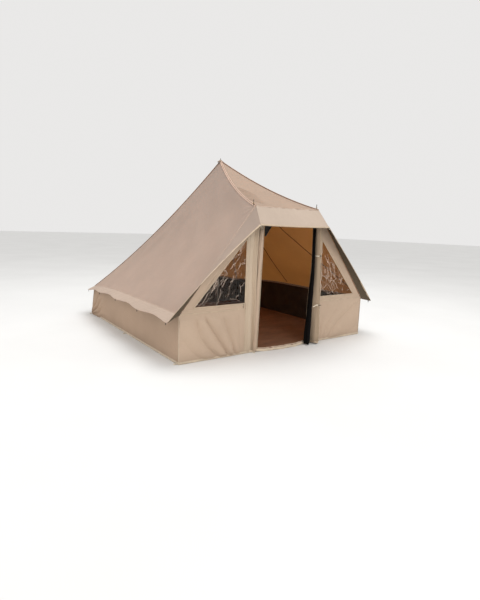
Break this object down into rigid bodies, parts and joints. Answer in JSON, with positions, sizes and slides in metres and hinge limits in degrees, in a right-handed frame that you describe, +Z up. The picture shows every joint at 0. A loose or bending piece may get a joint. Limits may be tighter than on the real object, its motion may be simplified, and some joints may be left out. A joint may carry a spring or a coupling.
{
  "type": "teepee tent",
  "caption": "Pyramid canvas tent on a rectangular plan with low walls, a short ridge and hood over a rolled-up door, and triangular film windows.",
  "frame": {"origin": "on the ground under the apex, at the foot of the centre pole", "axes": "+Z up, -Y towards the door end, +X to the right of someone who faces the door from outside"},
  "size_m": [3.3384, 3.54, 2.536],
  "materials": {
    "roof_canvas": "matte",
    "wall_canvas": "matte",
    "front_canvas": "matte",
    "lining": "matte",
    "mesh": "matte",
    "film": "gloss",
    "groundsheet": "satin",
    "webbing": "matte",
    "peg_webbing": "matte",
    "toggle": "satin",
    "rubber": "matte",
    "brass": "satin",
    "cap": "matte",
    "pole_steel": "satin",
    "zip_metal": "satin"
  },
  "bodies": {
    "tent": {"roof_left": "roof_canvas", "roof_right": "roof_canvas", "roof_front": "roof_canvas", "roof_back": "roof_canvas", "hood_front": "front_canvas", "hood_side_left": "roof_canvas", "hood_side_right": "roof_canvas", "valance_left": "roof_canvas", "valance_right": "roof_canvas", "valance_back": "roof_canvas", "wall_left": "wall_canvas", "wall_right": "wall_canvas", "wall_back": "wall_canvas", "wall_lining": "lining", "front_wall_left": "front_canvas", "front_wall_right": "front_canvas", "gable_left": "front_canvas", "gable_right": "front_canvas", "window_left": "film", "window_right": "film", "jamb_left": "front_canvas", "jamb_right": "front_canvas", "door_lintel": "front_canvas", "door_sill": "front_canvas", "groundsheet": "groundsheet", "door_roll": "front_canvas", "mesh_roll": "mesh", "door_ties": "webbing", "tie_toggles": "toggle", "canvas_zip_chain": "webbing", "mesh_zip_chain": "webbing", "apex_cap": "cap", "apex_pin": "pole_steel", "centre_pole_upper": "pole_steel", "centre_pole_middle": "pole_steel", "centre_pole_lower": "pole_steel", "centre_pole_foot": "rubber", "front_pole_left_upper": "pole_steel", "front_pole_left_lower": "pole_steel", "front_pole_right_upper": "pole_steel", "front_pole_right_lower": "pole_steel", "front_pole_feet": "rubber", "ridge_pins": "pole_steel", "ridge_eyelets": "brass", "valance_loops": "webbing", "peg_loops": "peg_webbing"},
    "canvas_slider": {"canvas_zip_slider": "zip_metal"},
    "canvas_pull": {"canvas_zip_pull": "zip_metal"},
    "mesh_slider": {"mesh_zip_slider": "zip_metal"},
    "mesh_pull": {"mesh_zip_pull": "zip_metal"}
  },
  "joints": [
    {"name": "canvas_zip_slide", "type": "slide", "parent": "tent", "child": "canvas_slider", "axis": [0.0237, 0, 0.9997], "range_m": [-1.5, 0]},
    {"name": "canvas_pull_hinge", "type": "hinge", "parent": "canvas_slider", "child": "canvas_pull", "pos_m": [-0.37291, -1.6093, 1.60934], "axis": [-0.9997, 0, 0.0237], "range_deg": [0, 160]},
    {"name": "mesh_zip_slide", "type": "slide", "parent": "tent", "child": "mesh_slider", "axis": [0.0237, 0, 0.9997], "range_m": [-1.5, 0]},
    {"name": "mesh_pull_hinge", "type": "hinge", "parent": "mesh_slider", "child": "mesh_pull", "pos_m": [-0.37291, -1.5787, 1.60934], "axis": [0.9997, 0, -0.0237], "range_deg": [0, 160]}
  ]
}
